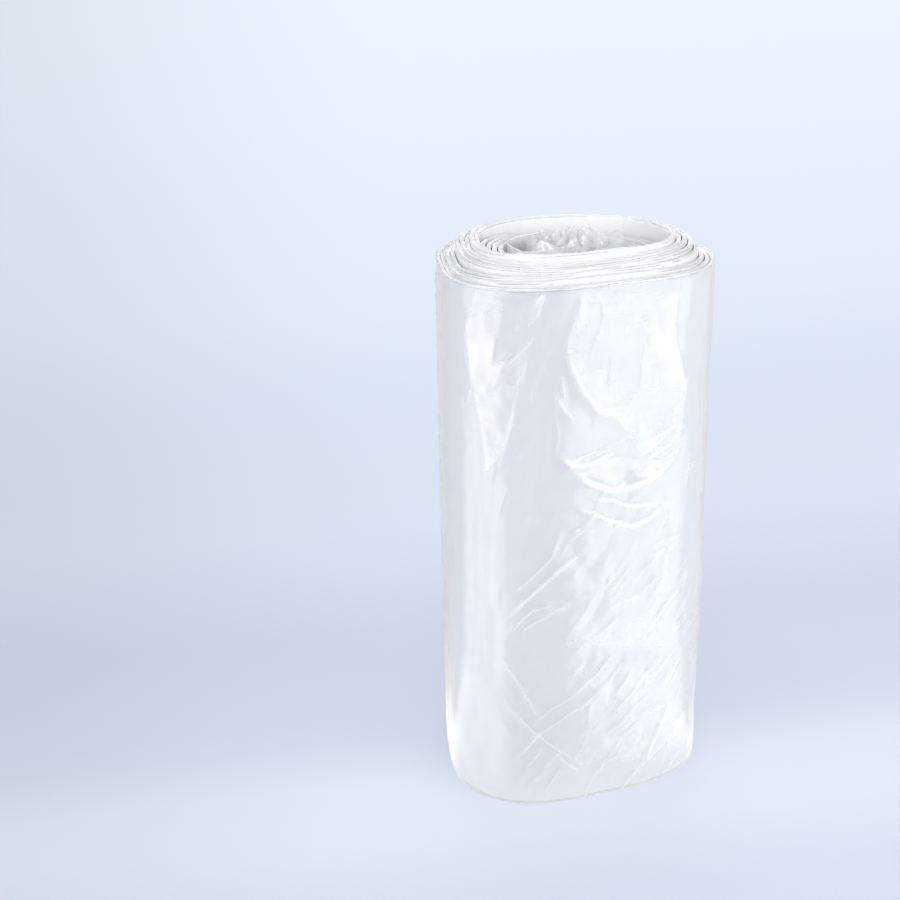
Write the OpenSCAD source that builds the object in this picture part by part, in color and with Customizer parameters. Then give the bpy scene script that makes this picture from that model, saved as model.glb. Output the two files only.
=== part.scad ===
// A coreless roll of clear liners: one folded web of bags, joined end to end, wound into a soft
// coil that stands on its end. The web is one continuous band. It starts as a bunch in the
// middle, runs outwards turn by turn and ends in a free edge on the outside. The turns have slid
// along the roll, so that a collar of them stands above the outer ones.

/* [Web] */
// Width of the folded web, which is the length of one turn along the roll
web_w = 152.4; // [100:0.1:320]
// Thickness of the folded web, with all its film layers
ply_t = 1.0; // [0.7:0.05:1.1]
// Air between one tight turn and the next
turn_gap = 0.4; // [0.3:0.05:0.6]

/* [Roll] */
// Width of the roll along its long axis
roll_w = 74; // [68:1:92]
// Depth of the roll along its short axis, without the lobes
roll_d = 61; // [56:1:76]
// How square the oval is, where 2 is a true ellipse
squareness = 2.5; // [2:0.1:2.8]
// Share by which the outside bulges in three directions
lobe = 0.054; // [0:0.001:0.06]
// Direction of the first bulge, counted from the long axis
lobe_angle = -6; // [-60:1:60]
// Direction of the free edge, counted from the long axis
tail_angle = 118; // [0:1:359]

/* [Loose inner turns] */
// Depth of the space inside the wound turns, along the short axis
bore_d = 21; // [20:0.5:26]
// Number of loose turns around that space
loose_turns = 4; // [2:1:6]
// Air between one loose turn and the next
loose_gap = 0.85; // [0.7:0.05:1.2]
// Share by which the innermost wound turn buckles in and out
buckle = 0.06; // [0:0.01:0.08]

/* [Bunched start] */
// Air between the bunch in the middle and the turn around it
bunch_gap = 0.8; // [0.5:0.1:1.5]
// Turns of film in the bunch
bunch_turns = 2.5; // [1.5:0.5:2.5]
// Share by which the film of the bunch folds in and out
bunch_fold = 0.2; // [0:0.01:0.24]
// Number of folds round the bunch
bunch_folds = 5; // [3:1:7]

/* [Slid turns] */
// Height by which the collar stands above the outermost turn
collar_rise = 6.6; // [0:0.1:12]
// Distance from the outside of the roll to the top of the collar
collar_in = 10; // [8:0.1:10.5]
// Height of the turns inside the collar above the outermost turn
dish_rise = 4.4; // [0:0.1:6]
// Height of the bunch above the outermost turn
bunch_rise = 8; // [0:0.1:14]
// Height of the crumples along the edge of the bunch
crumple = 1.2; // [0:0.1:2]
// Height by which the collar leans to one side
lean = 0.4; // [0:0.1:1.5]
// Direction in which the collar stands highest, counted from the long axis
lean_angle = 65; // [0:1:359]

/* [Quality] */
// Straight steps in one turn
steps = 60; // [36:4:64]

/* [Hidden] */

pitch = ply_t + turn_gap;
loose_pitch = ply_t + loose_gap;

// Depth of winding, from the outside in, and how the turns share it
wound_depth = (roll_d - bore_d) / 2;
tight_depth = wound_depth - loose_turns * loose_pitch;
tight_turns = tight_depth / pitch;
wound_turns = tight_turns + loose_turns;

// The web crosses the space inside the turns in part of a turn, to reach the bunch
cross_turns = 0.7;
bunch_start = wound_turns + cross_turns;
web_turns = bunch_start + bunch_turns;

// The innermost film of the bunch keeps clear of the middle by this share of the bunch
bunch_core = 0.32;

// The spiral has already run in by this much where it passes a direction on its first turn
function run_in(dir) = pitch * (((dir - tail_angle) % 360 + 360) % 360) / 360;

// Half sizes of the oval at the outside of the roll, at the innermost wound turn and at the bunch
half_w = (roll_w + run_in(0) + run_in(180)) / 2;
half_d = (roll_d + run_in(90) + run_in(270)) / 2;
bore_half_w = half_w - wound_depth;
bore_half_d = half_d - wound_depth;
bunch_half_w = (bore_half_w * (1 - buckle) - ply_t - bunch_gap) / (1 + bunch_fold);
bunch_half_d = (bore_half_d * (1 - buckle) - ply_t - bunch_gap) / (1 + bunch_fold);

// Height stations from the outside in: distance from the outside, and rise of the turn there.
// Over the narrow ends of the roll the collar steps up at once, over its long sides bit by bit.
dish_stations = [
    [collar_in, collar_rise],
    [collar_in + pitch, collar_rise],
    [collar_in + 1.6 * pitch, dish_rise + (collar_rise - dish_rise) * 0.2],
    [wound_depth - loose_pitch, dish_rise],
    [wound_depth, dish_rise],
    [wound_depth + 1, bunch_rise]
];
long_side_stations = concat([
    [0, 0],
    [1.25 * pitch, 0],
    [collar_in * 0.44, collar_rise * 0.38],
    [collar_in * 0.9, collar_rise * 0.76]
], dish_stations);
narrow_end_stations = concat([
    [0, 0],
    [1.25 * pitch, 0],
    [collar_in * 0.44, collar_rise * 0.2],
    [collar_in * 0.57, collar_rise * 0.7]
], dish_stations);

// Share of the way from a to b, kept from 0 to 1
function share(x, a, b) = min(1, max(0, (x - a) / (b - a)));

// A share that starts and ends gently
function gentle(s) = s * s * (3 - 2 * s);

// Distance of the web's outer face from the outside of the roll, after u turns
function inset(u) = u < tight_turns
    ? u * pitch
    : tight_depth + min(u - tight_turns, loose_turns) * loose_pitch;

// How far the web has crossed to the bunch, and how far it has run through it
function crossed(u) = gentle(share(u, wound_turns, bunch_start));
function bunched(u) = share(u, bunch_start, web_turns);

// Radius of an oval with half sizes a and b in the direction th
function oval(th, a, b) =
    pow(pow(abs(cos(th)) / a, squareness) + pow(abs(sin(th)) / b, squareness), -1 / squareness);

// Radius in the direction th of the outside, of the innermost wound turn and of the bunch
function outside_r(th) = oval(th, half_w, half_d) * (1 + lobe * cos(3 * (th - lobe_angle)));
function bore_r(th) = oval(th, bore_half_w, bore_half_d) * (1 + buckle * cos(3 * th + 100));
function bunch_r(th) = oval(th, bunch_half_w, bunch_half_d) * (1 + bunch_fold * cos(bunch_folds * th));

// Radius of the web's outer face after u turns
function outer_r(u) =
    let (th = tail_angle + 360 * u,
         wound = outside_r(th) + (bore_r(th) - outside_r(th)) * inset(u) / wound_depth,
         in_bunch = bunch_r(th) * (1 - (1 - bunch_core) * bunched(u)))
    wound + (in_bunch - wound) * crossed(u);

// Height of the web's lower edge after u turns
function rise(u) =
    let (th = tail_angle + 360 * u,
         at = inset(u) + crossed(u),
         end = pow(cos(th), 2),
         base = end * lookup(at, narrow_end_stations) + (1 - end) * lookup(at, long_side_stations),
         slid = collar_rise > 0 ? min(1, base / collar_rise) : 0)
    max(0, base + lean * slid * cos(th - lean_angle) + crumple * crossed(u) * cos(7 * th + 500 * u));

// The web's section after u turns: outer bottom, outer top, inner top, inner bottom
function section(u) =
    let (th = tail_angle + 360 * u, r = outer_r(u), z = rise(u))
    [
        [r * cos(th), r * sin(th), z],
        [r * cos(th), r * sin(th), z + web_w],
        [(r - ply_t) * cos(th), (r - ply_t) * sin(th), z + web_w],
        [(r - ply_t) * cos(th), (r - ply_t) * sin(th), z]
    ];

// The wound web: a band swept along the spiral, closed at both ends and set over the middle of
// its own footprint
module liner_roll() {
    last = floor(web_turns * steps);
    sections = [for (i = [0:last]) section(i / steps)];
    points = [for (s = sections) each s];
    xs = [for (p = points) p[0]];
    ys = [for (p = points) p[1]];
    walls = [
        for (i = [0:last - 1], k = [0:3])
            let (a = 4 * i + k, b = 4 * i + (k + 1) % 4)
            each [[a, b, b + 4], [a, b + 4, a + 4]]
    ];
    ends = [[3, 2, 1, 0], [for (k = [0:3]) 4 * last + k]];
    color([0.90, 0.93, 0.95])
        translate([-(min(xs) + max(xs)) / 2, -(min(ys) + max(ys)) / 2, 0])
            polyhedron(points = points, faces = concat(walls, ends), convexity = 12);
}

liner_roll();
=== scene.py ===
import bpy
import math
import numpy as np
from mathutils import Matrix


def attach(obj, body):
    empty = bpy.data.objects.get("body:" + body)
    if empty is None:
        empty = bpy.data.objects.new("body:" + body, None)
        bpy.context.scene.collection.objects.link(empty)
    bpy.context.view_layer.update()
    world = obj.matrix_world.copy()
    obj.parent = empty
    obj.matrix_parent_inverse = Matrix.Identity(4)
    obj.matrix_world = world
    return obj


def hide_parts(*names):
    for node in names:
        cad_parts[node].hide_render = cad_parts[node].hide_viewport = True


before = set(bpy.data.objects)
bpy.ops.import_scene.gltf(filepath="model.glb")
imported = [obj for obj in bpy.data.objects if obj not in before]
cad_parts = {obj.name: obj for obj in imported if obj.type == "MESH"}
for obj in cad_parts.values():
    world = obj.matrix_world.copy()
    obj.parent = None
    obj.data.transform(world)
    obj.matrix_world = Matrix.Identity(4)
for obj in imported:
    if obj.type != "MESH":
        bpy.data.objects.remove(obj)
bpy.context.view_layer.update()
print("frame loaded:", sorted(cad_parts))

# The wound web, in millimetres and degrees, with the same values as the part's source
web = {
    "width": 152.4,  # folded web, along the roll
    "ply": 1.0,  # thickness of one turn
    "turnGap": 0.4,  # air between tight turns
    "longAxis": 74,
    "shortAxis": 61,
    "squareness": 2.5,
    "lobe": 0.054,
    "lobeAngle": -6,
    "tailAngle": 118,  # where the free edge is
    "boreDepth": 21,
    "looseTurns": 4,
    "looseGap": 0.85,
    "buckle": 0.06,
    "bunchGap": 0.8,
    "bunchTurns": 2.5,
    "bunchFold": 0.2,
    "bunchFolds": 5,
    "collarRise": 6.6,
    "collarIn": 10,
    "dishRise": 4.4,
    "bunchRise": 8,
    "crumple": 1.2,
    "lean": 0.4,
    "leanAngle": 65,
    "crossTurns": 0.7,
    "bunchCore": 0.32,
}


# Cosine and sine of an angle in degrees
def cosDeg(angle):
    return np.cos(np.radians(angle))


def sinDeg(angle):
    return np.sin(np.radians(angle))


# Share of the way from a to b, and the same with a gentle start and end: s^2 (3 - 2 s)
def share(x, a, b):
    return np.clip((x - a) / (b - a), 0, 1)


def gentle(x, a, b):
    s = share(x, a, b)
    return s * s * (3 - 2 * s)


# How far the spiral has run in where its first turn passes a direction
def runIn(direction):
    return turnPitch * (((direction - web["tailAngle"]) % 360) / 360)


turnPitch = web["ply"] + web["turnGap"]
loosePitch = web["ply"] + web["looseGap"]
woundDepth = (web["shortAxis"] - web["boreDepth"]) / 2
tightDepth = woundDepth - web["looseTurns"] * loosePitch
tightTurns = tightDepth / turnPitch
woundTurns = tightTurns + web["looseTurns"]
bunchStart = woundTurns + web["crossTurns"]
webTurns = bunchStart + web["bunchTurns"]
halfLong = (web["longAxis"] + runIn(0) + runIn(180)) / 2
halfShort = (web["shortAxis"] + runIn(90) + runIn(270)) / 2
bunchSizes = [
    ((half - woundDepth) * (1 - web["buckle"]) - web["ply"] - web["bunchGap"])
    / (1 + web["bunchFold"])
    for half in (halfLong, halfShort)
]


# Oval whose radius is (|cos/a|^n + |sin/b|^n)^(-1/n)
def oval(angle, a, b):
    n = web["squareness"]
    return (np.abs(cosDeg(angle) / a) ** n + np.abs(sinDeg(angle) / b) ** n) ** (-1 / n)


# Radius of the roll's outside: the oval with three low lobes
def outsideRadius(angle):
    lobes = 1 + web["lobe"] * cosDeg(3 * (angle - web["lobeAngle"]))
    return oval(angle, halfLong, halfShort) * lobes


# Distance from the outside after u turns: steady in the tight turns, wider in the loose ones
def insetAt(u):
    loose = np.minimum(u - tightTurns, web["looseTurns"]) * loosePitch
    return np.where(u < tightTurns, u * turnPitch, tightDepth + loose)


# How far the web has crossed to the bunch after u turns, from 0 to 1
def crossedAt(u):
    return gentle(u, woundTurns, bunchStart)


# Radius of the web's outer face after u turns: a straight blend from the outside to the innermost
# wound turn, then across to the folded bunch, which shrinks to its core
def radiusAt(u):
    angle = web["tailAngle"] + 360 * u
    bore = oval(angle, halfLong - woundDepth, halfShort - woundDepth)
    bore = bore * (1 + web["buckle"] * cosDeg(3 * angle + 100))
    wound = outsideRadius(angle) + (bore - outsideRadius(angle)) * insetAt(u) / woundDepth
    folded = oval(angle, *bunchSizes)
    folded = folded * (1 + web["bunchFold"] * cosDeg(web["bunchFolds"] * angle))
    folded = folded * (1 - (1 - web["bunchCore"]) * share(u, bunchStart, webTurns))
    return wound + (folded - wound) * crossedAt(u)


# Height of the web's lower edge after u turns: two tables of stations, one for the narrow ends and
# one for the long sides, blended by the squared cosine of the direction
def riseAt(u):
    angle = web["tailAngle"] + 360 * u
    top, dish, start = web["collarRise"], web["dishRise"], web["collarIn"]
    outer = [(0, 0), (1.25 * turnPitch, 0)]
    inner = [
        (start, top), (start + turnPitch, top),
        (start + 1.6 * turnPitch, dish + 0.2 * (top - dish)),
        (woundDepth - loosePitch, dish), (woundDepth, dish), (woundDepth + 1, web["bunchRise"]),
    ]
    sides = outer + [(0.44 * start, 0.38 * top), (0.9 * start, 0.76 * top)] + inner
    ends = outer + [(0.44 * start, 0.2 * top), (0.57 * start, 0.7 * top)] + inner
    at = insetAt(u) + crossedAt(u)
    endShare = cosDeg(angle) ** 2
    base = endShare * np.interp(at, *zip(*ends)) + (1 - endShare) * np.interp(at, *zip(*sides))
    lean = web["lean"] * np.minimum(1, base / top) * cosDeg(angle - web["leanAngle"])
    crumples = web["crumple"] * crossedAt(u) * cosDeg(7 * angle + 500 * u)
    return np.maximum(0, base + lean + crumples)


# The plan of the whole web, once: used for the middle of its footprint and for lengths along it
planSteps = 60  # steps in one turn
planTurns = np.arange(0, int(webTurns * planSteps) + 1) / planSteps
planAngle = web["tailAngle"] + 360 * planTurns
planRadius = radiusAt(planTurns)
planFaces = (planRadius, planRadius - web["ply"])
planX = np.concatenate([r * cosDeg(planAngle) for r in planFaces])
planY = np.concatenate([r * sinDeg(planAngle) for r in planFaces])
middleX, middleY = (planX.min() + planX.max()) / 2, (planY.min() + planY.max()) / 2
stepX, stepY = (np.diff(planRadius * part(planAngle)) for part in (cosDeg, sinDeg))
planLength = np.concatenate([[0], np.cumsum(np.hypot(stepX, stepY))])


# Length along the web from the free edge after u turns, by the plan; before the edge it counts
# backwards at the rate of the first turn
def lengthAt(u):
    return np.interp(u, planTurns, planLength) + np.minimum(u, 0) * planLength[planSteps]


# Noise on a square lattice of random numbers from -1 to 1, blended with 6t^5 - 15t^4 + 10t^3
def smoothNoise(x, y, seed):
    x, y = np.broadcast_arrays(np.asarray(x, float), np.asarray(y, float))
    cellX, cellY = np.floor(x).astype(np.int64), np.floor(y).astype(np.int64)
    fx, fy = x - cellX, y - cellY
    fx, fy = (f * f * f * (f * (f * 6 - 15) + 10) for f in (fx, fy))

    def corner(dx, dy):
        key = (cellX + dx) * 73856093 ^ (cellY + dy) * 19349663 ^ (seed + 11) * 83492791
        key = (key ^ (key >> 13)) * 60493 & 0x7FFFFFFF
        key = (key ^ (key >> 11)) * 32749 & 0x7FFFFFFF
        return ((key >> 7) & 0xFFFF) / 32767.5 - 1

    low = corner(0, 0) + (corner(1, 0) - corner(0, 0)) * fx
    high = corner(0, 1) + (corner(1, 1) - corner(0, 1)) * fx
    return low + (high - low) * fy


# Creased film: triangle waves in several directions, each bent by smooth noise, which leaves flat
# facets between sharp folds; it runs from about -1 to 1
def foldNoise(x, y, seed, directions, bend=0.55):
    total = 0
    for k, angle in enumerate(directions):
        own = seed + 7 * k
        warped = x * cosDeg(angle) + y * sinDeg(angle) + bend * smoothNoise(x * 0.6, y * 0.6, own)
        warped = warped + bend * 0.4 * smoothNoise(x * 1.7, y * 1.7, own + 3)
        strength = 0.55 + 0.45 * smoothNoise(x * 0.5 + 9, y * 0.5, own + 5)
        total = total + strength * (4 * np.abs(warped - np.floor(warped + 0.5)) - 1)
    return total / len(directions) * 1.6


# Distance from each point to a line through the given corners, and how far along the line it is
def lineDistance(x, y, corners):
    best = np.full(x.shape, 1e9)
    where = np.zeros(x.shape)
    corners = np.asarray(corners, float)
    lengths = np.hypot(*np.diff(corners, axis=0).T)
    total, done = lengths.sum(), 0
    for (ax, ay), (bx, by), length in zip(corners[:-1], corners[1:], lengths):
        t = np.clip(((x - ax) * (bx - ax) + (y - ay) * (by - ay)) / length ** 2, 0, 1)
        distance = np.hypot(x - ax - t * (bx - ax), y - ay - t * (by - ay))
        closer = distance < best
        best = np.where(closer, distance, best)
        where = np.where(closer, (done + t * length) / total, where)
        done += length
    return best, where


# A closed band: points has one row of section points for each step along the web. Quads join
# neighbours, and one face closes each end. Highlight marks, where given, go into the attribute
# creased: how much painted highlight each point carries.
def bandObject(name, points, along, up, highlightMarks=None):
    columns, rows = points.shape[:2]
    start = np.arange(columns - 1)[:, None] * rows
    row = np.arange(rows)[None, :]
    a, b = start + row, start + (row + 1) % rows
    quads = np.stack([a, a + rows, b + rows, b], -1).reshape(-1, 4)
    mesh = bpy.data.meshes.new(name)
    ends = [list(range(rows)), list(range(columns * rows - 1, (columns - 1) * rows - 1, -1))]
    mesh.from_pydata((points.reshape(-1, 3) / 1000).tolist(), [], quads.tolist() + ends)
    uv = mesh.uv_layers.new(name="web")
    corners = np.empty(len(mesh.loops), np.int32)
    mesh.loops.foreach_get("vertex_index", corners)
    flat = np.stack([np.broadcast_to(way, (columns, rows)).ravel() for way in (along, up)], -1)
    uv.data.foreach_set("uv", (flat / 100)[corners].astype(np.float32).ravel())
    if highlightMarks is not None:
        # The attribute creased holds the painted highlights: white that stands in for glints
        creased = mesh.attributes.new("creased", "FLOAT", "POINT")
        creased.data.foreach_set("value", np.asarray(highlightMarks, np.float32).ravel())
    mesh.polygons.foreach_set("use_smooth", np.ones(len(mesh.polygons), bool))
    mesh.update()
    piece = bpy.data.objects.new(name, mesh)
    bpy.context.scene.collection.objects.link(piece)
    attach(piece, "root")
    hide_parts("liner_roll")
    print("made", name, "with", len(mesh.polygons), "faces")
    return piece


# Section of a band: up the outer wall, over the top edge, down the inner wall and back under the
# bottom edge. For each point it gives how far across the thickness it is, from 0 outside to 1
# inside, its height, and which of these four it is on, from 0 to 3.
def bandSection(outerHeights, topAcross, innerHeights, bottomAcross, width):
    parts = [
        (np.zeros(len(outerHeights)), outerHeights),
        (topAcross, np.full(len(topAcross), width)),
        (np.ones(len(innerHeights)), innerHeights),
        (bottomAcross, np.zeros(len(bottomAcross))),
    ]
    across, height = (np.concatenate(lists) for lists in zip(*parts))
    return across, height, np.repeat(np.arange(4), [len(heights) for _, heights in parts])


# Places of the points over a layered edge, from 0 to 1: five on each layer, one at either corner
def edgePlaces(layers):
    inner = np.arange(layers)[:, None] + np.array([0.06, 0.3, 0.5, 0.7, 0.94])
    return np.concatenate([[0.01], inner.ravel() / layers, [0.99]])


# Edge of a turn as a stack of thin layers: each layer has a rounded crest of its own height, with
# a narrow furrow between it and the next
def layeredEdge(along, across, seed):
    layers, wander = turns["layers"], turns["wander"]
    layer = np.minimum((across * layers).astype(int), layers - 1)
    local = across * layers - layer
    line = layer * 3.7 + 0.5
    crest = wander * smoothNoise(along / 11, line, seed)
    crest = crest + 0.5 * wander * smoothNoise(along / 3.1, line, seed + 1)
    roundness = 0.32 * np.abs(2 * across - 1) ** 6
    return crest - turns["furrow"] * np.abs(2 * local - 1) ** 3 - roundness


# How far a section's points are lifted: crests and waves at the top edge, furrows only at the
# bottom edge, and waves on the walls, which grow from one height to another
def sectionLift(kind, height, edge, wave, low, high):
    walls = wave * gentle(height, low, high)
    return np.where(kind == 1, edge + wave, np.where(kind == 3, np.maximum(-edge, 0.0), walls))


# Points at a radius, direction and height, set over the middle of the footprint and kept just
# above the floor
def pointsRound(radius, angle, z):
    x, y = radius * cosDeg(angle) - middleX, radius * sinDeg(angle) - middleY
    return np.stack([x, y, np.maximum(z, 0.02)], -1)


# The turns under the outer wrap, from the second one to the innermost wound one. A pair gives the
# turns between which something sets in or ends.
turns = {
    "wallHeights": [0.4, 1.2, 3, 8, 30, 76, 122, 138, 144, 148, 150.2, 151.4, 152.0],
    "layers": 3,  # film layers that show on each edge
    "furrow": 0.24,  # depth between layers, mm
    "wander": 0.2,  # how far a layer's edge strays up and down, mm
    "sway": 0.09,  # how far a turn strays in and out, mm
    "wave": 0.28,  # slow waves along each edge, mm
    "drop": 3.4,  # how far the turns inside the collar have dropped, mm
    "dropFrom": (8.15, 8.75),
    "leftDrop": 0.7,  # share of the drop that the left side lacks
    "step": 0.7,  # how far the turns just outside the collar's lip have dropped, mm
    "stepFrom": (5.6, 5.9),
    "stepTo": (6.9, 7.1),
    "crimp": 1.5,  # small crimps on the collar's lip, mm
    "crimpFrom": (6.5, 7.2),
    "flare": 0.16,  # how far each wall leans out at its upper edge, mm
    "flareHeights": (147, 151.5),
}


# How far turns have dropped below the solid's: those inside the collar most at the back and on
# the right and least on the left, where their edges can be seen, and a little outside its lip
def droppedAt(u):
    left = gentle(cosDeg(web["tailAngle"] + 360 * u - 190), 0.1, 0.8)
    inside = gentle(u, *turns["dropFrom"]) * (1 - turns["leftDrop"] * left)
    inside = inside * (1 - gentle(u, woundTurns - 0.3, woundTurns))
    outsideLip = gentle(u, *turns["stepFrom"]) * (1 - gentle(u, *turns["stepTo"]))
    return turns["drop"] * inside + turns["step"] * outsideLip


# Turns of the web from one to another: the band on its spiral, with walls that sway and flare, and
# layered edges with waves and crimps
def buildTurns(name, first, last, columnsPerTurn, seed):
    u = np.linspace(first, last, int((last - first) * columnsPerTurn) + 1)[:, None]
    along, angle = lengthAt(u), web["tailAngle"] + 360 * u
    walls, edges = np.array(turns["wallHeights"]), edgePlaces(turns["layers"])
    across, height, kind = bandSection(walls, edges, walls[::-1], edges[::-1], web["width"])
    wave = turns["wave"] * smoothNoise(along / 26, 0.5, seed + 4)
    crimps = np.clip(smoothNoise(along / 1.1, across * 2, seed + 14) - 0.35, 0, 1)
    crimps = crimps * np.clip(smoothNoise(along / 9, 0.5, seed + 15) - 0.1, 0, 1)
    lift = sectionLift(kind, height, layeredEdge(along, across, seed), wave, 100, 150)
    lift = lift + (kind == 1) * turns["crimp"] * crimps * gentle(u, *turns["crimpFrom"])
    sway = smoothNoise(along / 13, height / 70, seed + 8)
    sway = turns["sway"] * (sway + 0.6 * smoothNoise(along / 4, height / 30, seed + 9))
    upper = gentle(height, *turns["flareHeights"])
    flare = turns["flare"] * upper * (1 - 2 * across)
    radius = radiusAt(u) - web["ply"] * across + sway * (1 - 0.8 * upper) + flare
    z = riseAt(u) - droppedAt(u) + height + lift
    return bandObject(name, pointsRound(radius, angle, z), along, height)


# The outer wrap: the first whole turn, with the soft dents and pillows of the film on it.
# Places are given as direction in degrees and height in mm.
wrap = {
    "columns": 300,
    "rows": 110,
    "innerHeights": [152, 150, 140, 76, 12, 2, 0.5],
    "inset": 0.12,  # how far it lies inside the solid's outside, mm
    "sink": 0.35,  # how far its outer wall lies back under the film, mm
    "wave": 0.16,  # slow waves along each edge, mm
    "softFold": 0.32,  # height of the broad facets, mm
    "smallFold": 0.12,  # height of the smaller facets, mm
    "pillowShare": 0.8,  # how much it takes part in the film's pillows
    "creaseShare": 0.3,  # and in its creases
    "teeth": 1.6,  # degrees of the roll for 1 mm of tooth
    "pillows": [  # direction, height, half width, half height, bulge in mm
        (226, 132, 8, 24, 0.45),
        (287, 131, 24, 20, 0.75),
        (284, 101, 20, 6, 0.35),
        (292, 60, 22, 26, 0.35),
        (247, 40, 14, 30, 0.3),
        (334, 58, 7, 24, 0.7),
        (180, 90, 16, 50, 0.3),
        (60, 80, 20, 40, 0.4),
        (20, 110, 12, 30, 0.4),
        (100, 60, 15, 25, 0.4),
    ],
}

# Creases of the outer film: corners as direction and height, half width and height in mm, and how
# strong the painted highlight along it is, from 0 to 1, white that stands in for its glint
creases = [
    ([(255, 138), (259.5, 131), (264, 125), (272, 119), (281, 118), (292, 121)], 1.8, 0.85, 0.6),
    ([(254, 130), (256, 123)], 0.7, 0.36, 0.45),
    ([(251.5, 125), (256, 120), (260.5, 117)], 0.8, 0.38, 0.55),
    ([(252, 108.5), (259, 104.8), (267, 104.2), (273, 105), (281.5, 107)], 1.0, 0.5, 0.85),
    ([(257.5, 104), (269, 98.8), (279, 96.2), (287, 95.8), (301, 98), (315, 102.5)],
     1.6, 0.85, 0.85),
    ([(289.8, 100), (297.5, 99.2), (304, 101)], 0.8, 0.42, 0.55),
    ([(266, 95.4), (274, 93.6), (281, 93), (288.5, 90.5), (307, 89.8)], 0.65, 0.48, 0.75),
    ([(261, 92.4), (274, 88.8), (283, 86), (292, 84.5), (301, 85.8), (308, 89.2)], 0.8, 0.5, 0.8),
    ([(315, 112), (306, 109.8), (296, 108)], 1.0, 0.4, 0.6),
    ([(314, 106.8), (304.5, 105.2), (297, 103)], 0.9, 0.42, 0.5),
    ([(308.5, 91.2), (322, 88)], 0.4, -0.16, 0),
    ([(312.2, 150), (310.2, 143), (310.5, 133.5), (317, 123.2), (316.5, 116), (315.5, 105)],
     1.2, 0.35, 0.2),
    ([(263, 151), (262.2, 147.5), (259.2, 143.5), (255.5, 138)], 1.3, 0.4, 0.15),
    ([(219.8, 151), (213.5, 139.8), (213.8, 133.2), (219.2, 124), (222.8, 114), (221, 103)],
     1.4, 0.4, 0),
    ([(232.8, 149.5), (230.5, 146), (227.5, 137), (226, 132.8)], 0.9, 0.42, 0.1),
    ([(226, 132.5), (233.2, 133), (240.5, 138), (243.5, 142)], 0.8, 0.5, 0.5),
    ([(241.8, 136.2), (238, 128.2), (235.8, 119.2), (232.5, 110.5), (228.8, 103.5)], 1.0, 0.45, 0),
    ([(247.2, 151.5), (245, 149), (243.2, 145.2), (240.5, 143.8)], 1.1, 0.45, 0),
    ([(220, 150.5), (227.2, 149.6), (232.8, 149.2)], 0.7, 0.25, 0.15),
    ([(250, 148), (247.8, 142.8), (243.2, 130.5)], 1.2, 0.25, 0.1),
    ([(232, 59.8), (240.8, 66.5), (252.5, 73.8), (266.2, 79.5)], 0.6, 0.5, 0.75),
    ([(232.8, 55.5), (242.2, 62.8), (255, 64.5)], 0.6, 0.42, 0.55),
    ([(232.8, 66.5), (244.2, 73.8), (250.8, 78.5), (254, 85.5)], 0.6, 0.38, 0.45),
    ([(235, 54.5), (241.5, 58.2), (259.8, 64.8)], 0.55, 0.35, 0.5),
    ([(228.8, 48), (236.8, 40.2), (241.2, 34.5), (244.2, 28.2)], 0.7, 0.38, 0.4),
    ([(230, 34.5), (243, 24), (258.8, 15.5), (271.2, 8.8)], 0.6, 0.42, 0.5),
    ([(248.5, 34), (262.2, 34.8), (270.8, 34)], 0.4, -0.18, 0),
    ([(232.2, 13), (246.2, 24), (262.2, 30), (276, 33)], 0.6, 0.4, 0.5),
    ([(252.2, 16.8), (266, 8.8)], 0.6, 0.36, 0.55),
    ([(302.2, 74.2), (311.2, 75.8)], 0.6, 0.36, 0.5),
    ([(303.5, 53), (309.2, 56.8), (319.5, 62)], 0.8, 0.5, 0.7),
    ([(304.5, 35), (316.2, 41)], 0.6, 0.36, 0.5),
    ([(303.5, 7.2), (311.8, 19), (316.2, 26.2)], 0.7, 0.4, 0.6),
    ([(278.5, 61.2), (300.2, 63.2)], 0.6, 0.34, 0.45),
    ([(287, 101.2), (290, 92.8), (282.5, 88), (278.5, 79.5), (270.5, 74.2), (262.8, 71.8)],
     1.9, -0.5, 0),
    ([(278.8, 71.8), (276.2, 64.2), (270.2, 58), (263, 54.5)], 1.9, -0.5, 0),
    ([(296.2, 77.5), (297.5, 73.2), (299.8, 66.8)], 1.4, -0.4, 0),
    ([(312, 84), (312, 70)], 1.4, -0.3, 0),
    ([(302, 72), (301, 60)], 1.4, -0.3, 0),
    ([(272, 50), (266, 42), (258, 37)], 1.8, -0.45, 0),
    ([(290, 50), (284, 38), (280, 28)], 1.8, -0.4, 0),
    ([(306, 48), (300, 36), (297, 22)], 1.6, -0.35, 0),
]


# An outline upside down and further round the roll
def turnedOver(outline, turn):
    return [(angle + turn, web["width"] - height) for angle, height in outline]


# The back has fainter creases of the same kind: all those of the front, 140 degrees further on,
# and those of the left front, 90 degrees back
leftCreases = [one for one in creases if 212 < min(one[0])[0] and max(one[0])[0] < 262]
creases += [
    (turnedOver(outline, turn), 1.7 * halfWidth, 0.9 * lift, 0.5 * white)
    for group, turn in ((creases, 140), (leftCreases, -90))
    for outline, halfWidth, lift, white in group
]

# Length along the outside from the free edge to a direction, so that widths on it are in mm
outsideAngles = np.linspace(web["tailAngle"] - 30, web["tailAngle"] + 400, 1721)
outsideX = outsideRadius(outsideAngles) * cosDeg(outsideAngles)
outsideY = outsideRadius(outsideAngles) * sinDeg(outsideAngles)
outsideLength = np.concatenate([[0], np.cumsum(np.hypot(np.diff(outsideX), np.diff(outsideY)))])


def girth(angle):
    return np.interp(angle, outsideAngles, outsideLength)


# Length along the outside and height of every point, as two whole tables
def filmPlaces(angle, height):
    return np.broadcast_arrays(girth(angle), height)


# Corners of a line or outline on the film: length along the outside and height
def onFilm(outline):
    return [(float(girth(angle)), height) for angle, height in outline]


# Squared distance from a place, where 1 is the ellipse with the given half sizes
def ellipseAway(angle, height, place, level, halfWidth, halfHeight):
    return ((girth(angle) - girth(place)) / halfWidth) ** 2 + ((height - level) / halfHeight) ** 2


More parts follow.
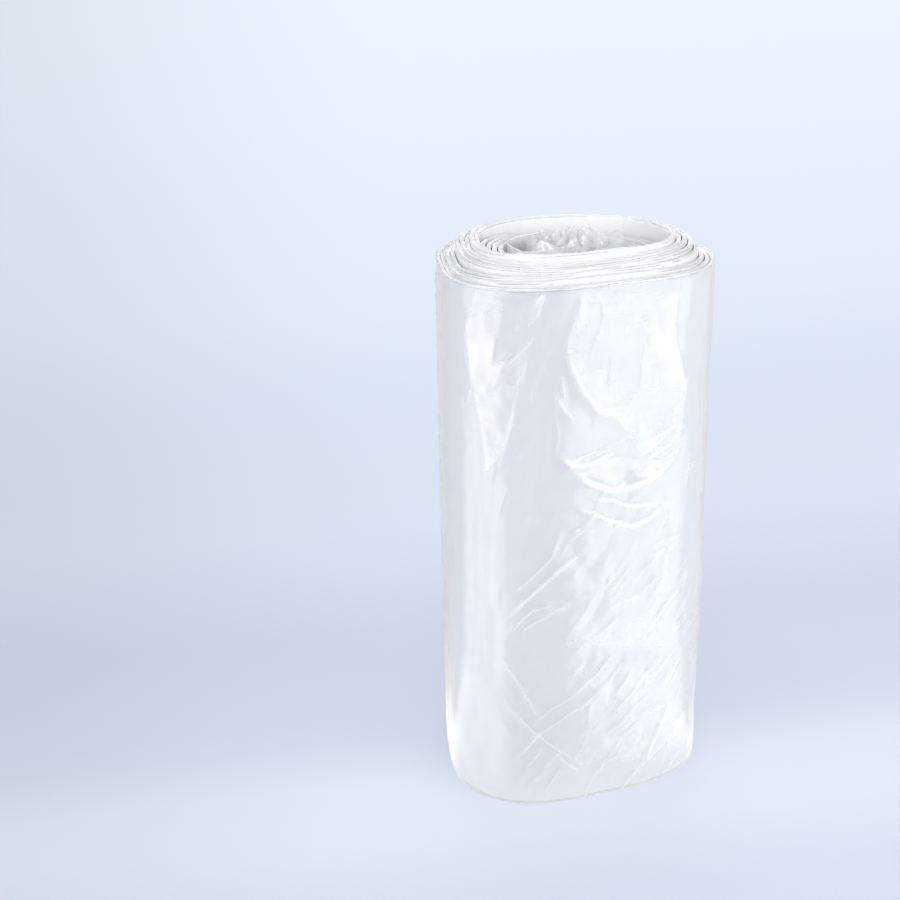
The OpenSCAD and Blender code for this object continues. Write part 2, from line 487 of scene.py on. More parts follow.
# Bulges of (1 - d^2 / 1.7)^1.5 round each place, which fade out over the upper 20 mm
def pillowField(angle, height):
    total = np.zeros(np.broadcast(angle, height).shape)
    for *ellipse, bulge in wrap["pillows"]:
        total += bulge * np.clip(1 - ellipseAway(angle, height, *ellipse) / 1.7, 0, 1) ** 1.5
    return total * gentle(web["width"] - height, 0, 20)


# Creases as tents over their lines, (1 - distance / half width)^1.35, which fade at both ends
def creaseField(angle, height, widen=1.0):
    s, z = filmPlaces(angle, height)
    total = np.zeros(s.shape)
    for outline, halfWidth, lift, white in creases:
        distance, where = lineDistance(s, z, onFilm(outline))
        tent = np.clip(1 - distance / (halfWidth * widen * 1.6), 0, 1) ** 1.35
        total += lift * tent * np.minimum(1, 5 * np.minimum(where, 1 - where) + 0.15)
    return total


# Painted highlights where the soft boxes' reflection lies broad on the film: outlines of such
# patches as direction and height, and how bright each is
highlightPatches = [
    ([(219, 152), (236, 152.8), (230, 149), (227, 133.2), (233, 132.8), (242, 138.8),
      (240, 130.8), (236, 126.2), (236, 118.5), (231, 108), (223, 102), (222, 114), (217, 128),
      (214, 140)], 0.42),
    ([(248, 152.8), (245, 145.2), (241, 142.5), (240, 143.5), (240, 149.2)], 0.45),
    ([(263, 151.8), (312, 148.5), (310, 139.2), (317, 123.2), (318, 110), (311, 105.2),
      (295, 104.2), (281, 116.2), (271, 119.5), (264, 124.8), (258, 134), (256, 138),
      (260, 141.2)], 0.26),
    ([(252, 109), (258, 105.5), (270, 101), (282, 96.8), (292, 96.5), (306, 98.5), (315, 102.5),
      (302, 103.2), (282, 105.5), (267, 104.5), (258, 106.2)], 0.3),
    ([(262, 85), (278, 80.5), (275, 75.8), (281, 71.2), (302, 62.8), (312, 74.2), (313, 65.8),
      (308, 55), (313, 43.2), (254, 50.2), (259, 60.2), (273, 64.5), (279, 72.5), (266, 77)],
      0.2),
    ([(262, 45.2), (274, 44.8), (308, 39.2), (304, 18.5), (302, 8.2), (266, 9.8), (249, 22.5),
      (262, 30), (270, 34.5)], 0.24),
]
highlightPatches += [(turnedOver(outline, 140), 0.7 * white) for outline, white in highlightPatches]


# Painted highlights from 0 to 1, white that stands in for glints and the soft boxes' reflection:
# tents over the creases, which fade towards their ends, and the highlight patches, whose value
# falls off over 0.9 mm at the outline, or 3 mm for the fainter ones. A point is inside an outline
# when a line from it crosses the outline an odd number of times.
def paintedFilmHighlights(angle, height):
    s, z = filmPlaces(angle, height)
    uneven = 1 + 0.5 * smoothNoise(s / 7, z / 9, 301) + 0.35 * smoothNoise(s / 2.6, z / 3.4, 302)
    total = np.zeros(s.shape)
    for outline, white in highlightPatches:
        corners = onFilm(outline)
        distance = lineDistance(s, z, corners + corners[:1])[0] / (0.9 if white > 0.25 else 3.0)
        inside = np.zeros(s.shape, bool)
        for (ax, ay), (bx, by) in zip(corners, corners[1:] + corners[:1]):
            inside ^= ((ay > z) != (by > z)) & (s < (bx - ax) * (z - ay) / (by - ay + 1e-9) + ax)
        sheet = np.clip(np.where(inside, distance, -distance) + 0.3, 0, 1)
        total = np.maximum(total, white * uneven * sheet)
    for outline, halfWidth, lift, white in creases:
        if white:
            distance, where = lineDistance(s, z, onFilm(outline))
            tent = np.clip(1 - distance / (0.75 * halfWidth + 0.35), 0, 1)
            fade = np.minimum(1, 4 * np.minimum(where, 1 - where) + 0.1)
            total = np.maximum(total, white * tent * fade)
    return np.clip(total, 0, 1)


# Where the film is busiest: 1 inside an ellipse round a direction and height, fading outside it
def patch(angle, height, *ellipse):
    return 1 - gentle(ellipseAway(angle, height, *ellipse), 0.35, 1.5)


# How crumpled the film is: most on the right front and round the back, least on the left front
def crumpledShare(angle, height):
    upperLeft = 0.6 * patch(angle, height, 234, 128, 16, 34)
    rightFront = gentle(angle, 236, 268) * (1 - 0.55 * gentle(angle, 312, 330))
    back = gentle(angle, 330, 352) + (1 - gentle(angle, 186, 206))
    patches = 0.75 + 0.45 * smoothNoise(girth(angle) / 22, height / 26, 71)
    most = 0.3 + 0.7 * np.clip(np.maximum(upperLeft, rightFront) + 0.8 * back, 0, 1)
    return np.clip(most, 0, 1) * np.clip(patches, 0.15, 1.2)


# Long thin creases in one direction: lines at whole values of (distance across / spacing + noise),
# each a tent of the given half width, cut into stretches by noise along it
def creaseLines(s, z, direction, spacing, halfWidth, seed, coverage):
    a = s * cosDeg(direction) + z * sinDeg(direction)
    b = z * cosDeg(direction) - s * sinDeg(direction)
    phase = b / spacing + 0.8 * smoothNoise(a / 19, b / 24, seed)
    phase = phase + 0.1 * smoothNoise(a / 6, b / 7, seed + 1)
    row = np.floor(phase + 0.5)
    stretch = smoothNoise(a / 8 + row * 17.3, row * 5.1, seed + 2) + 2 * coverage - 1
    tent = np.clip(1 - np.abs(phase - row) * spacing / halfWidth, 0, 1)
    return np.clip(stretch * 2.2, 0, 1) * tent


# Fine creases by region: diagonal ones over the lower right of the front, flatter ones over its
# middle, steep ones on the left, and all kinds round the back
fineSets = [  # region, strength, direction, spacing, half width, seed, coverage
    ("lower", 1.0, 38, 4.6, 0.75, 211, 0.5),
    ("lower", 0.8, 55, 5.4, 0.7, 221, 0.45),
    ("across", 1.0, 128, 8.5, 0.7, 231, 0.4),
    ("middle", 0.9, 12, 6.2, 0.8, 241, 0.45),
    ("middle", 0.6, 66, 8, 0.8, 251, 0.4),
    ("upper", 0.5, 165, 7, 0.9, 261, 0.4),
    ("upper", 0.5, 70, 9, 0.9, 271, 0.4),
    ("left", 0.7, 74, 5.2, 0.9, 281, 0.45),
    ("left", 0.5, 40, 9, 0.7, 291, 0.35),
]


# Sum of the sets, each in its region; a region is a patch on the front or a share of the back
def fineCreases(angle, height):
    s, z = filmPlaces(angle, height)
    back = np.clip(gentle(angle, 335, 360) + 1 - gentle(angle, 170, 195), 0, 1)
    lower = patch(angle, height, 284, 34, 34, 46)
    regions = {
        "lower": np.maximum(lower, 0.5 * back),
        "across": np.maximum(0.5 * lower, 0.4 * back),
        "middle": np.maximum(patch(angle, height, 290, 92, 26, 30), 0.4 * back),
        "upper": patch(angle, height, 286, 134, 24, 20),
        "left": patch(angle, height, 232, 110, 14, 50),
    }
    return sum(strength * regions[region] * creaseLines(s, z, *lines)
               for region, strength, *lines in fineSets)


# Facets of the film, broad and of middle size
def filmFacets(angle, height):
    s = girth(angle)
    broad = foldNoise(s / 19, height / 24, 3, (12, 58, 100, 148))
    middle = foldNoise(s / 8.5, height / 9.5, 53, (35, 60, 128, 150))
    return broad, middle


# How far the wrap's outer wall stands off its plain oval, in mm: pillows, facets and soft creases
def wrapDents(angle, height):
    broad, middle = filmFacets(angle, height)
    busy = 0.35 + 0.65 * crumpledShare(angle, height)
    facets = busy * (wrap["softFold"] * broad + wrap["smallFold"] * middle)
    softCreases = wrap["creaseShare"] * creaseField(angle, height, 1.8)
    return wrap["pillowShare"] * pillowField(angle, height) - wrap["sink"] + facets + softCreases


# The free edge follows the teeth of a perforation: a small triangle wave up the web
def perforation(height, pitch=2.4, depth=0.55):
    return depth * np.abs(2 * (height / pitch - np.floor(height / pitch)) - 1)


# The wrap: the band on its first turn, with dents in its outer wall that end at its upper and lower
# edges and at the free edge
def buildWrap():
    u = np.linspace(0, 1, wrap["columns"])[:, None]
    along, angle, width = lengthAt(u), web["tailAngle"] + 360 * u, web["width"]
    outer = np.concatenate([[0.25], np.linspace(0.9, width - 0.9, wrap["rows"]), [width - 0.25]])
    inner, edges = np.array(wrap["innerHeights"]), edgePlaces(turns["layers"])
    across, height, kind = bandSection(outer, edges, inner, edges[::-1], width)
    wave = wrap["wave"] * smoothNoise(along / 24, 0.5, 25)
    dented = (across < 0.5) * gentle(height, 0, 5) * gentle(width - height, 0, 5)
    dents = wrapDents(angle, height) * dented * gentle(u, 0, 0.012)
    radius = radiusAt(u) - web["ply"] * across - wrap["inset"] + dents
    lift = sectionLift(kind, height, layeredEdge(along, across, 21), wave, 110, 151)
    z = riseAt(u) + height + lift
    toothed = angle + (1 - share(u, 0, 0.01)) * perforation(height) * wrap["teeth"]
    return bandObject("outer_wrap", pointsRound(radius, toothed, z), along, height)


# The loose clear film over the wrap. Its outer wall carries the sharp creases and stands off the
# roll in a few places; its inner wall lies on the wrap.
film = {
    "columns": 370,
    "rows": 222,
    "innerRows": 24,
    "turns": (-0.006, 0.2, 0.645, 0.995),  # free edge, start and end of the front, other end
    "columnShares": (0, 0.12, 0.76, 1),  # share of the columns used up at each of these
    "standOff": 0.3,  # mm
    "gap": 0.06,  # between its inner wall and the wrap, mm
    "thin": 0.1,  # least thickness, mm
    "lift": 0.7,  # how far the free edge stands off the turn below, mm
    "teeth": 2.4,  # degrees of the roll for 1 mm of tooth
    "crease": 0.95,  # share of each crease's height
    "fineCrease": 0.5,  # mm
    "fineHighlight": 0.3,  # how strong the painted highlight on the fine creases is
    "middleFold": 0.26,  # mm
    "broadFold": 0.34,  # mm
    "hemWave": 0.25,  # waves of its lower and upper edges, mm
}


# The film: on the outer wall pillows, facets and creases over the stand-off, a flap at the free
# edge and wavy hems. Columns stand closer together on the front.
def buildFilm():
    shares = np.linspace(0, 1, film["columns"])
    u = np.interp(shares, film["columnShares"], film["turns"])[:, None]
    angle, width = web["tailAngle"] + 360 * u, web["width"]
    outer = np.concatenate([[0.1], np.linspace(0.7, width - 0.4, film["rows"]), [width + 0.1]])
    inner, edge = np.linspace(width - 0.3, 0.6, film["innerRows"]), np.array([0.5])
    across, height, kind = bandSection(outer, edge, inner, edge, width + 0.2)
    height = np.where(kind == 3, 0.04, height)
    broad, middle = filmFacets(angle, height)
    busy = crumpledShare(angle, height)
    loose = pillowField(angle, height) + (0.4 + 0.6 * busy) * film["broadFold"] * broad
    loose = loose + busy * film["middleFold"] * middle
    fine = fineCreases(angle, height)
    creased = film["crease"] * creaseField(angle, height) + film["fineCrease"] * fine
    # Painted highlights: white on the creases, the fine creases and the highlight patches, which
    # stands in for glints and the soft boxes' reflection
    highlightMarks = np.clip(np.maximum(paintedFilmHighlights(angle, height), film["fineHighlight"] * fine), 0, 1)
    inside = gentle(height, 0, 5) * gentle(width - height, 0, 2)
    flap = film["lift"] * (1 - gentle(u, -0.01, 0.06))
    flap = flap * (0.6 + 0.4 * smoothNoise(height / 30, 0.5, 33))
    hem = film["hemWave"] * smoothNoise(girth(angle) / 9, 0.5, 35) * (1 - gentle(height, 0, 10))
    hem = hem + 0.05 - 0.2 * gentle(height, width - 6, width)
    lining = wrapDents(angle, height) * inside + film["gap"]
    # Where it would touch the wrap, it bends away softly: (a + b + root of ((a - b)^2 + 0.09)) / 2
    free, least = film["standOff"] + hem + inside * (loose + creased), lining + film["thin"]
    out = (free + least + np.sqrt((free - least) ** 2 + 0.09)) / 2 + flap
    wall = np.where(kind == 2, lining + 0.9 * flap, np.where(kind == 0, out, (out + lining) / 2))
    radius = radiusAt(np.maximum(u, 0)) - wrap["inset"] + wall
    z = height + (kind == 1) * film["hemWave"] * smoothNoise(girth(angle) / 7, 0.5, 36)
    toothed = angle + (1 - share(u, -0.006, 0.004)) * perforation(height) * film["teeth"]
    points = pointsRound(radius, toothed, z)
    return bandObject("clear_film", points, lengthAt(u), height, highlightMarks * (kind == 0))


# The crumpled start of the web: it crosses from the innermost turn to the middle, where its folds
# grow towards the upper edge
bunch = {
    "columnsPerTurn": 250,
    "lowHeights": [0.4, 2, 8, 25, 50, 80, 105, 118],
    "upperRows": 46,
    "thick": 0.35,  # mm
    "crumple": 2.0,  # how far the folds stray, mm
    "shift": 1.1,  # how far they shift sideways, mm
    "peaks": 0.9,  # how far the upper edge strays, mm
    "settle": 2.8,  # how far it has sunk below the solid's, mm
    "depth": 26,  # how deep the crumples reach from the upper edge, mm
}


# The bunch: the band on the rest of its spiral, moved in and out by folds of two sizes, sideways by
# smooth noise and up and down by peaks, all of them less in the middle or further down
def buildBunch():
    count = int((webTurns - woundTurns) * bunch["columnsPerTurn"])
    u = np.linspace(woundTurns - 0.02, webTurns, count)[:, None]
    along, angle, width = lengthAt(u), web["tailAngle"] + 360 * u, web["width"]
    upper = width - bunch["depth"] * (1 - np.linspace(0, 1, bunch["upperRows"])) ** 1.6
    heights = np.concatenate([bunch["lowHeights"], upper[:-1], [width - 0.1]])
    edge = np.array([0.5])
    across, height, kind = bandSection(heights, edge, heights[::-1], edge, width)
    crossed = crossedAt(u)
    crumpled = crossed * (0.25 + 0.75 * gentle(height, width - bunch["depth"], width - 4))
    folds = foldNoise(along / 10, height / 11, 130, (15, 62, 95, 140), 0.8)
    smallFolds = foldNoise(along / 4.5, height / 5, 140, (25, 80, 125), 0.8)
    stray = bunch["crumple"] * crumpled * (0.8 * folds + 0.4 * smallFolds)
    peaks = smoothNoise(along / 8, 0.5, 150) + 0.4 * smoothNoise(along / 3.5, 0.5, 151)
    peaks = crumpled * bunch["peaks"] * peaks * gentle(height, 120, width)
    outward = 1 - share(u, bunchStart, webTurns)
    radius = radiusAt(u) - bunch["thick"] * across * (0.4 + 0.6 * outward)
    radius = np.maximum(radius + stray * (0.35 + 0.65 * outward), 0.5)
    z = np.maximum(riseAt(u) - bunch["settle"] * crossed + height + peaks, 0.3)
    points = pointsRound(radius, angle, z)
    for axis, seed in ((0, 160), (1, 161)):
        shift = smoothNoise(along / 9, height / 12, seed)
        points[..., axis] += bunch["shift"] * crumpled * shift
    return bandObject("bunch_film", points, along, height)


outerWrap = buildWrap()
clearFilm = buildFilm()
outerTurns = buildTurns("outer_turns", 1.0, 6.0, 300, 40)
innerTurns = buildTurns("inner_turns", 6.0, woundTurns, 230, 60)
bunchFilm = buildBunch()


# Materials. Every colour is linear, and heights and lengths on the web are in units of 100 mm.
def newMaterial(name):
    material = bpy.data.materials.new(name)
    material.use_nodes = True
    material.node_tree.nodes.clear()
    return material, material.node_tree


# A node with its fields and settings. A setting that is another node's output is linked to it.
def addNode(tree, kind, settings=None, **fields):
    node = tree.nodes.new("ShaderNode" + kind)
    for key, value in fields.items():
        setattr(node, key, value)
    for key, value in (settings or {}).items():
        if isinstance(value, bpy.types.NodeSocket):
            tree.links.new(value, node.inputs[key])
        else:
            node.inputs[key].default_value = value
    return node


# The first output of such a node
def addPart(tree, kind, settings=None, **fields):
    return addNode(tree, kind, settings, **fields).outputs[0]


# A value carried from one range to another and held at its ends, on a straight or a smooth way
def addRange(tree, value, ends, results=(0.0, 1.0), way="LINEAR"):
    return addPart(tree, "MapRange", {
        "Value": value, "From Min": ends[0], "From Max": ends[1],
        "To Min": results[0], "To Max": results[1],
    }, interpolation_type=way)


# Sum, product or another operation on two values
def addMath(tree, operation, a, b=0.0):
    return addPart(tree, "Math", {0: a, 1: b}, operation=operation)


# Smooth noise at a place, from 0 to 1
def addNoise(tree, place, scale, detail, roughness):
    settings = {"Vector": place, "Scale": scale, "Detail": detail, "Roughness": roughness}
    return addPart(tree, "TexNoise", settings)


# Two colours, and two shaders, of which the second one has the given share
def mixColours(tree, amount, first, second):
    settings = {"Factor": amount, "A": first, "B": second}
    return addNode(tree, "Mix", settings, data_type="RGBA").outputs["Result"]


def mixShaders(tree, amount, first, second):
    return addPart(tree, "MixShader", {"Fac": amount, 1: first, 2: second})


# A bump from a height, in metres
def addBump(tree, height, strength, distance):
    settings = {"Height": height, "Strength": strength, "Distance": distance}
    return addPart(tree, "Bump", settings)


# Length along the web and height up it, from the mesh's own coordinates
def webPlace(tree):
    uv = addPart(tree, "UVMap", uv_map="web")
    split = addNode(tree, "SeparateXYZ", {"Vector": uv}).outputs
    return split["X"], split["Y"]


# Milky film of three kinds. The milk, where given, is the share of it at two lengths along the web;
# the rest is clear. The rim's milk is the least share near the upper edge.
milky = {
    "paintedEdgeHeights": (1.518, 1.523),  # where the painted tone of the cut edges sets in
    "rimHeights": (1.508, 1.521),  # where the rim's milk sets in
    "bump": 0.25,
    "clear": (0.985, 0.99, 0.995, 1),
    # The wrap's cut edge is a touch lighter than its wall: painted light
    "wrap": {
        "colour": (0.94, 0.945, 0.95, 1), "greyer": (0.89, 0.9, 0.905, 1),
        "edge": (0.95, 0.955, 0.96, 1), "ior": 1.5, "coat": 0.3,
        "lengths": (0, 2), "milk": (0.5, 0.55), "rimMilk": 0.9,
    },
    # The turns and the core have darker colours than the wrap, and their cut edges darker still:
    # painted shade, which holds down their tops where the lamps light them most
    "turns": {
        "colour": (0.83, 0.84, 0.845, 1), "greyer": (0.78, 0.795, 0.80, 1),
        "edge": (0.7, 0.71, 0.715, 1), "ior": 1.8, "coat": 0.5,
        "lengths": (2.1, 3.2), "milk": (0.7, 1.0), "rimMilk": 0.95,
    },
    "core": {
        "colour": (0.89, 0.895, 0.9, 1), "greyer": (0.84, 0.85, 0.855, 1),
        "edge": (0.77, 0.78, 0.785, 1), "ior": 1.5, "coat": 0.4,
    },
}


# Milky film is many clear layers together: long soft streaks across the web, from greyer to the
# colour and from smoother to rougher, a bump of faint creases, and a painted tone for the cut
# edges: painted shade on the turns and core, a touch of painted light on the wrap. Its share of
# milk is the larger one of the milk by length and the rim's milk by height.
def milkyMaterial(name, look):
    material, tree = newMaterial(name)
    place = addNode(tree, "TexCoord").outputs["Object"]
    stretched = addPart(tree, "Mapping", {"Vector": place, "Scale": (60, 60, 9)})
    streaks = addNoise(tree, stretched, 1.0, 3.0, 0.55)
    length, height = webPlace(tree)
    colour = mixColours(tree, addRange(tree, streaks, (0.3, 0.7)), look["greyer"], look["colour"])
    # Painted tone on the cut edges: painted shade on the turns and core, a touch of painted light
    # on the wrap
    paintedEdgeTone = addRange(tree, height, milky["paintedEdgeHeights"])
    shader = addPart(tree, "BsdfPrincipled", {
        "Base Color": mixColours(tree, paintedEdgeTone, colour, look["edge"]),
        "Roughness": addRange(tree, streaks, (0.3, 0.7), (0.2, 0.34)),
        "Normal": addBump(tree, addNoise(tree, place, 85.0, 1.0, 0.6), milky["bump"], 0.0012),
        "IOR": look["ior"], "Coat Weight": look["coat"], "Coat Roughness": 0.15, "Coat IOR": 1.45,
    })
    if "milk" in look:
        byLength = addRange(tree, length, look["lengths"], look["milk"])
        byRim = addRange(tree, height, milky["rimHeights"], (0.0, look["rimMilk"]), "SMOOTHSTEP")
        milk = addMath(tree, "MAXIMUM", byLength, byRim)
        clear = addPart(tree, "BsdfTransparent", {"Color": milky["clear"]})
        shader = mixShaders(tree, milk, clear, shader)
    addNode(tree, "OutputMaterial", {"Surface": shader})
    return material


# Clear film of two kinds: the loose film with painted highlights on its creases and patches, and
# the bunch, which is milkier further down and whose white lets part of the light through
glassy = {
    "clear": (0.99, 0.993, 0.996, 1),
    "gloss": (0.07, 0.85),  # seen straight on and at a grazing angle
    "grazingHaze": 0.3,  # what a grazing angle adds to the haze
    # White paint for the painted highlights
    "highlightWhite": (0.97, 0.975, 0.98, 1),
    "dullness": 0.36,  # roughness of the creases
    "film": {"haze": 0.06, "roughness": 0.09, "tint": (0.93, 0.95, 0.97, 1), "highlightShare": 0.75},
    "bunch": {
        "haze": 0.42, "roughness": 0.07, "tint": (0.97, 0.975, 0.97, 1),
        "through": 0.55, "lowMilk": 0.9, "lowHeights": (1.485, 1.522),
    },
}


# Clear film: see-through, with a white haze that grows with (1 - cos) of the angle to the surface
# and a gloss of 0.07 + 0.78 (1 - cos)^5. Film with painted highlights is mixed by its attribute
# with half white, a painted highlight that stands in for glints, and half dull gloss, which
# reflects the lamps.
def clearMaterial(name, look):
    material, tree = newMaterial(name)
    place = addNode(tree, "TexCoord").outputs["Object"]
    bump = addBump(tree, addNoise(tree, place, 90.0, 2.0, 0.5), 0.2, 0.0008)
    facing = addNode(tree, "LayerWeight", {"Blend": 0.5, "Normal": bump}).outputs["Facing"]
    haze = addRange(tree, facing, (0.0, 1.0), (look["haze"], look["haze"] + glassy["grazingHaze"]))
    glossShare = addRange(tree, addMath(tree, "POWER", facing, 5.0), (0.0, 1.0), glassy["gloss"])
    clear = addPart(tree, "BsdfTransparent", {"Color": glassy["clear"]})
    white = addPart(tree, "BsdfDiffuse", {"Color": look["tint"]})
    gloss = addPart(tree, "BsdfGlossy", {
        "Color": (1, 1, 1, 1), "Roughness": look["roughness"], "Normal": bump,
    })
    if "lowMilk" in look:
        through = addPart(tree, "BsdfTranslucent", {"Color": look["tint"]})
        white = mixShaders(tree, look["through"], white, through)
        low = addRange(tree, webPlace(tree)[1], look["lowHeights"], (look["lowMilk"], 0.0))
        haze = addMath(tree, "MAXIMUM", low, haze)
    shader = mixShaders(tree, glossShare, mixShaders(tree, haze, clear, white), gloss)
    if "highlightShare" in look:
        # Painted highlights from the attribute creased: half white paint, half dull gloss
        highlightMarks = addNode(tree, "Attribute", attribute_name="creased").outputs["Fac"]
        highlightWhite = addPart(tree, "BsdfDiffuse", {"Color": glassy["highlightWhite"]})
        dull = addPart(tree, "BsdfGlossy", {
            "Color": (1, 1, 1, 1), "Roughness": glassy["dullness"],
        })
        amount = addMath(tree, "MULTIPLY", highlightMarks, look["highlightShare"])
        shader = mixShaders(tree, amount, shader, mixShaders(tree, 0.5, highlightWhite, dull))
    addNode(tree, "OutputMaterial", {"Surface": shader})
    return material


outerWrap.data.materials.append(milkyMaterial("milky wrap", milky["wrap"]))
# The turns and the core carry painted shade in their darker colours
outerTurns.data.materials.append(milkyMaterial("layered turns, painted shade", milky["turns"]))
innerTurns.data.materials.append(milkyMaterial("layered core, painted shade", milky["core"]))
clearFilm.data.materials.append(clearMaterial("clear film", glassy["film"]))
bunchFilm.data.materials.append(clearMaterial("crumpled film", glassy["bunch"]))
print("materials set")

# The studio: a pale floor that sweeps up behind, soft boxes on the left, on the right, in front and
# behind, and one overhead. Lengths are in metres and directions in degrees.
studio = {
    "worldColour": (0.93, 0.96, 1.0, 1),
    "worldStrength": 0.62,
    "farTone": (0.80, 0.865, 0.98, 1),  # what the camera sees past the floor
    "softBoxes": [  # direction, distance, height of the middle, width, tallness, watts
        (197, 0.85, 0.36, 0.8, 0.3, 2.15),
        (312, 0.85, 0.36, 0.76, 0.34, 2.8),
        (258, 0.9, 0.42, 0.9, 0.34, 2.75),
        (80, 1.1, 0.75, 1.0, 0.6, 3.6),
    ],
    "overheadWatts": 2.2,
    "pools": [  # on the floor, as the film reflects it: direction, half width, strength
        (196, 30, 1.1),
        (318, 26, 1.15),
        (82, 50, -0.2),
    ],
    "poolTint": (1.0, 0.99, 0.965, 1),
    "poolFade": 9,  # degrees over which a pool fades, either side of its half width
    "poolStart": (0.04, 0.054),  # distance from the middle of the roll where pools set in
    "poolNoise": (0.55, 1.15),  # weakest and strongest place of a pool
    "footReach": (0.036, 0.055),  # distance where the floor's own shine by the foot ends
    "floorShine": (1.35, 0.9),  # strength of this shine by the foot and further out
    "evenReach": 0.3,  # distance before or behind the roll where the floor's tone is all its own
    "evenNear": 0.35,  # share of its own tone beside the roll; the rest is lit by the lamps
    "leftShade": 0.85,
    "leftBearings": (-0.2, 0.12),  # where the left shade is full and where it ends
    "toneReach": (-0.6, 2.4),
    "tones": [  # backdrop as the camera sees it, with a darker stretch in front of the roll and painted shadow just behind it: distance behind the roll, colour
        (-0.5, (0.80, 0.865, 0.98)),
        (-0.1, (0.66, 0.705, 0.82)),
        (-0.074, (0.665, 0.71, 0.82)),
        (-0.054, (0.70, 0.745, 0.85)),
        (-0.035, (0.74, 0.777, 0.86)),
        (-0.016, (0.734, 0.77, 0.86)),
        (0.012, (0.652, 0.69, 0.80)),
        (0.077, (0.633, 0.674, 0.80)),
        (0.164, (0.711, 0.763, 0.885)),
        (0.32, (0.72, 0.785, 0.92)),
        (0.48, (0.775, 0.84, 0.965)),
        (0.62, (0.79, 0.855, 0.975)),
        (1.2, (0.83, 0.89, 0.99)),
        (2.4, (0.845, 0.905, 1.0)),
    ],
}


# Tone of the floor by distance behind the roll, with a darker stretch in front of the roll and
# painted shadow just behind it. The left side has painted shade: darker by a share of (x + 0.09) /
# (|y| + 0.45), the direction from the front.
def floorTone(tree, x, y, distance):
    first, last = studio["toneReach"]
    tones = addNode(tree, "ValToRGB", {"Fac": addRange(tree, y, (first, last))})
    stops = tones.color_ramp.elements
    for k, (along, colour) in enumerate(studio["tones"]):
        stop = stops[k] if k < 2 else stops.new(1)
        stop.position = (along - first) / (last - first)
        stop.color = (*colour, 1)
    sideways, forward = addMath(tree, "ADD", x, 0.09), addMath(tree, "ADD", distance, 0.45)
    bearing = addMath(tree, "DIVIDE", sideways, forward)
    shade = addRange(tree, bearing, studio["leftBearings"], (studio["leftShade"], 1), "SMOOTHSTEP")
    settings = {0: tones.outputs["Color"], "Scale": shade}
    return addPart(tree, "VectorMath", settings, operation="SCALE")


# What gloss sees of the floor: a shine that is stronger by the foot, plus each pool's strength,
# which fades round its half width, starts just outside the roll and is uneven by a soft noise
def floorShine(tree, x, y):
    flat = addPart(tree, "CombineXYZ", {"X": x, "Y": y})
    unit = addPart(tree, "VectorMath", {0: flat}, operation="NORMALIZE")
    away = addNode(tree, "VectorMath", {0: flat}, operation="LENGTH").outputs["Value"]
    uneven = addRange(tree, addNoise(tree, flat, 26.0, 2.0, 0.5), (0.35, 0.65), studio["poolNoise"])
    uneven = addMath(tree, "MULTIPLY", addRange(tree, away, studio["poolStart"]), uneven)
    strength = addRange(tree, away, studio["footReach"], studio["floorShine"])
    for direction, halfWidth, power in studio["pools"]:
        towards = (float(cosDeg(direction)), float(sinDeg(direction)), 0)
        facing = addNode(tree, "VectorMath", {0: unit, 1: towards}, operation="DOT_PRODUCT")
        ends = [float(cosDeg(halfWidth + side * studio["poolFade"])) for side in (1, -1)]
        pool = addRange(tree, facing.outputs["Value"], ends, (0.0, power), "SMOOTHSTEP")
        strength = addMath(tree, "ADD", addMath(tree, "MULTIPLY", pool, uneven), strength)
    settings = {"Color": studio["poolTint"], "Strength": strength}
    return addPart(tree, "Emission", settings)


# The floor's material: lit by the lamps, and for the camera mixed with its own tone by distance
# from the roll. Gloss sees the shine instead.
def floorMaterial():
    material, tree = newMaterial("sweep")
    place = addNode(tree, "TexCoord").outputs["Object"]
    split = addNode(tree, "SeparateXYZ", {"Vector": place}).outputs
    x, y = split["X"], split["Y"]
    distance = addMath(tree, "ABSOLUTE", y)
    # The floor's tone holds painted shadow behind the roll and painted shade on the left
    tone = floorTone(tree, x, y, distance)
    lit = addPart(tree, "BsdfDiffuse", {"Color": tone})
    own = addPart(tree, "Emission", {"Color": tone, "Strength": 1.0})
    even = addRange(tree, distance, (0, studio["evenReach"]), (studio["evenNear"], 1), "SMOOTHSTEP")
    rays = addNode(tree, "LightPath").outputs
    seen = mixShaders(tree, addMath(tree, "MULTIPLY", even, rays["Is Camera Ray"]), lit, own)
    shader = mixShaders(tree, rays["Is Glossy Ray"], seen, floorShine(tree, x, y))
    addNode(tree, "OutputMaterial", {"Surface": shader})
    return material


# The floor's plan along Y: flat, then a quarter circle, then upright
def buildFloor():
    front, reach, bendRadius, tall, columns = -6.0, 2.2, 0.8, 3.0, 8
    bend = [(reach + bendRadius * math.sin(b), bendRadius * (1 - math.cos(b)))
            for b in np.linspace(0, math.pi / 2, 24)]
    profile = [(front, 0.0)] + bend + [(reach + bendRadius, tall)]
    points = [(x, y, z) for y, z in profile for x in np.linspace(-6, 6, columns)]
    faces = [[i * columns + k + corner for corner in (0, 1, columns + 1, columns)]
             for i in range(len(profile) - 1) for k in range(columns - 1)]
    mesh = bpy.data.meshes.new("studio_sweep")
    mesh.from_pydata(points, [], faces)
    mesh.polygons.foreach_set("use_smooth", np.ones(len(faces), bool))
    floor = bpy.data.objects.new("studio_sweep", mesh)
    bpy.context.scene.collection.objects.link(floor)
    mesh.materials.append(floorMaterial())


# Matrix of an object at a place, with its own X, Y and Z directions as columns
def placedMatrix(side, upward, backward, place):
    columns = np.column_stack([side, upward, backward, place])
    return Matrix(np.vstack([columns, [0, 0, 0, 1]]).tolist())


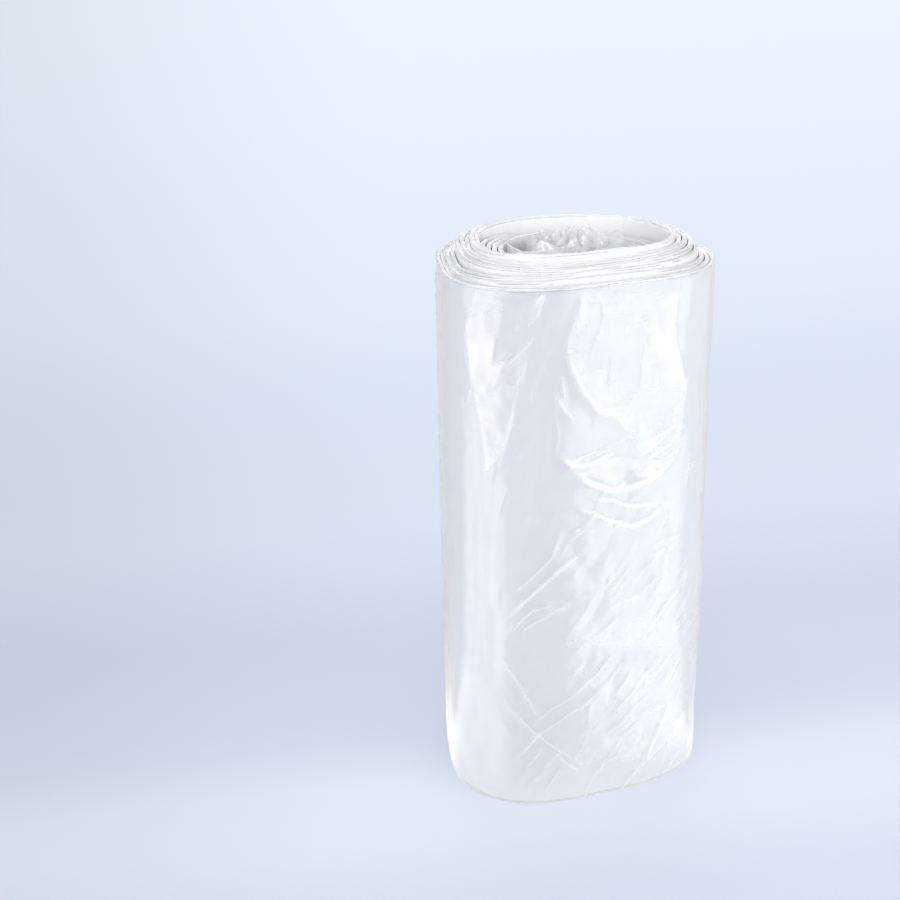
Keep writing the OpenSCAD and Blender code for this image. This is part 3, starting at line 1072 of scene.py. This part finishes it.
# A lamp that looks from its place at its aim: its side is forward x up, its upward side x forward
def addSoftBox(name, place, aim, width, tallness, watts):
    light = bpy.data.lights.new(name, "AREA")
    light.shape = "RECTANGLE"
    light.size, light.size_y, light.energy = width, tallness, watts
    lamp = bpy.data.objects.new(name, light)
    bpy.context.scene.collection.objects.link(lamp)
    forward = np.subtract(aim, place) / np.linalg.norm(np.subtract(aim, place))
    side = np.cross(forward, (0, 0, 1) if abs(forward[2]) < 0.99 else (0, 1, 0))
    side = side / np.linalg.norm(side)
    lamp.matrix_world = placedMatrix(side, np.cross(side, forward), -forward, place)


buildFloor()
for number, (direction, distance, middle, *rest) in enumerate(studio["softBoxes"]):
    place = (distance * cosDeg(direction), distance * sinDeg(direction), middle)
    addSoftBox("soft_box_%d" % number, place, (0, 0, 0.2), *rest)
addSoftBox("overhead", (0.0, 0.1, 1.1), (0, 0, 0.1), 0.9, 0.9, studio["overheadWatts"])

world = bpy.data.worlds.new("studio")
bpy.context.scene.world = world
world.use_nodes = True
sky = world.node_tree
light = sky.nodes["Background"]
light.inputs["Color"].default_value = studio["worldColour"]
light.inputs["Strength"].default_value = studio["worldStrength"]
seen = addNode(sky, "Background", {"Color": studio["farTone"], "Strength": 1.0})
cameraRay = addNode(sky, "LightPath").outputs["Is Camera Ray"]
shown = mixShaders(sky, cameraRay, light.outputs["Background"], seen.outputs["Background"])
sky.links.new(shown, sky.nodes["World Output"].inputs["Surface"])

# The camera at the photograph's place: position in mm, and its forward, right and up directions
view = {
    "position": (-89.38, -372.96, 249.3),
    "forward": (0.13408, 0.91908, -0.37056),
    "right": (0.98808, -0.15251, -0.02075),
    "up": (0.07558, 0.36336, 0.92858),
    "lens": 57.8,
}
cameraData = bpy.data.cameras.new("camera")
cameraData.lens, cameraData.sensor_width = view["lens"], 36
cameraData.clip_start, cameraData.clip_end = 0.01, 50
camera = bpy.data.objects.new("camera", cameraData)
bpy.context.scene.collection.objects.link(camera)
position, backward = np.array(view["position"]) / 1000, -np.array(view["forward"])
camera.matrix_world = placedMatrix(view["right"], view["up"], backward, position)
bpy.context.scene.camera = camera
bpy.context.scene.view_settings.view_transform = "Standard"
bpy.context.scene.cycles.transparent_max_bounces = 48  # light crosses many walls of clear film
print("studio and camera set")
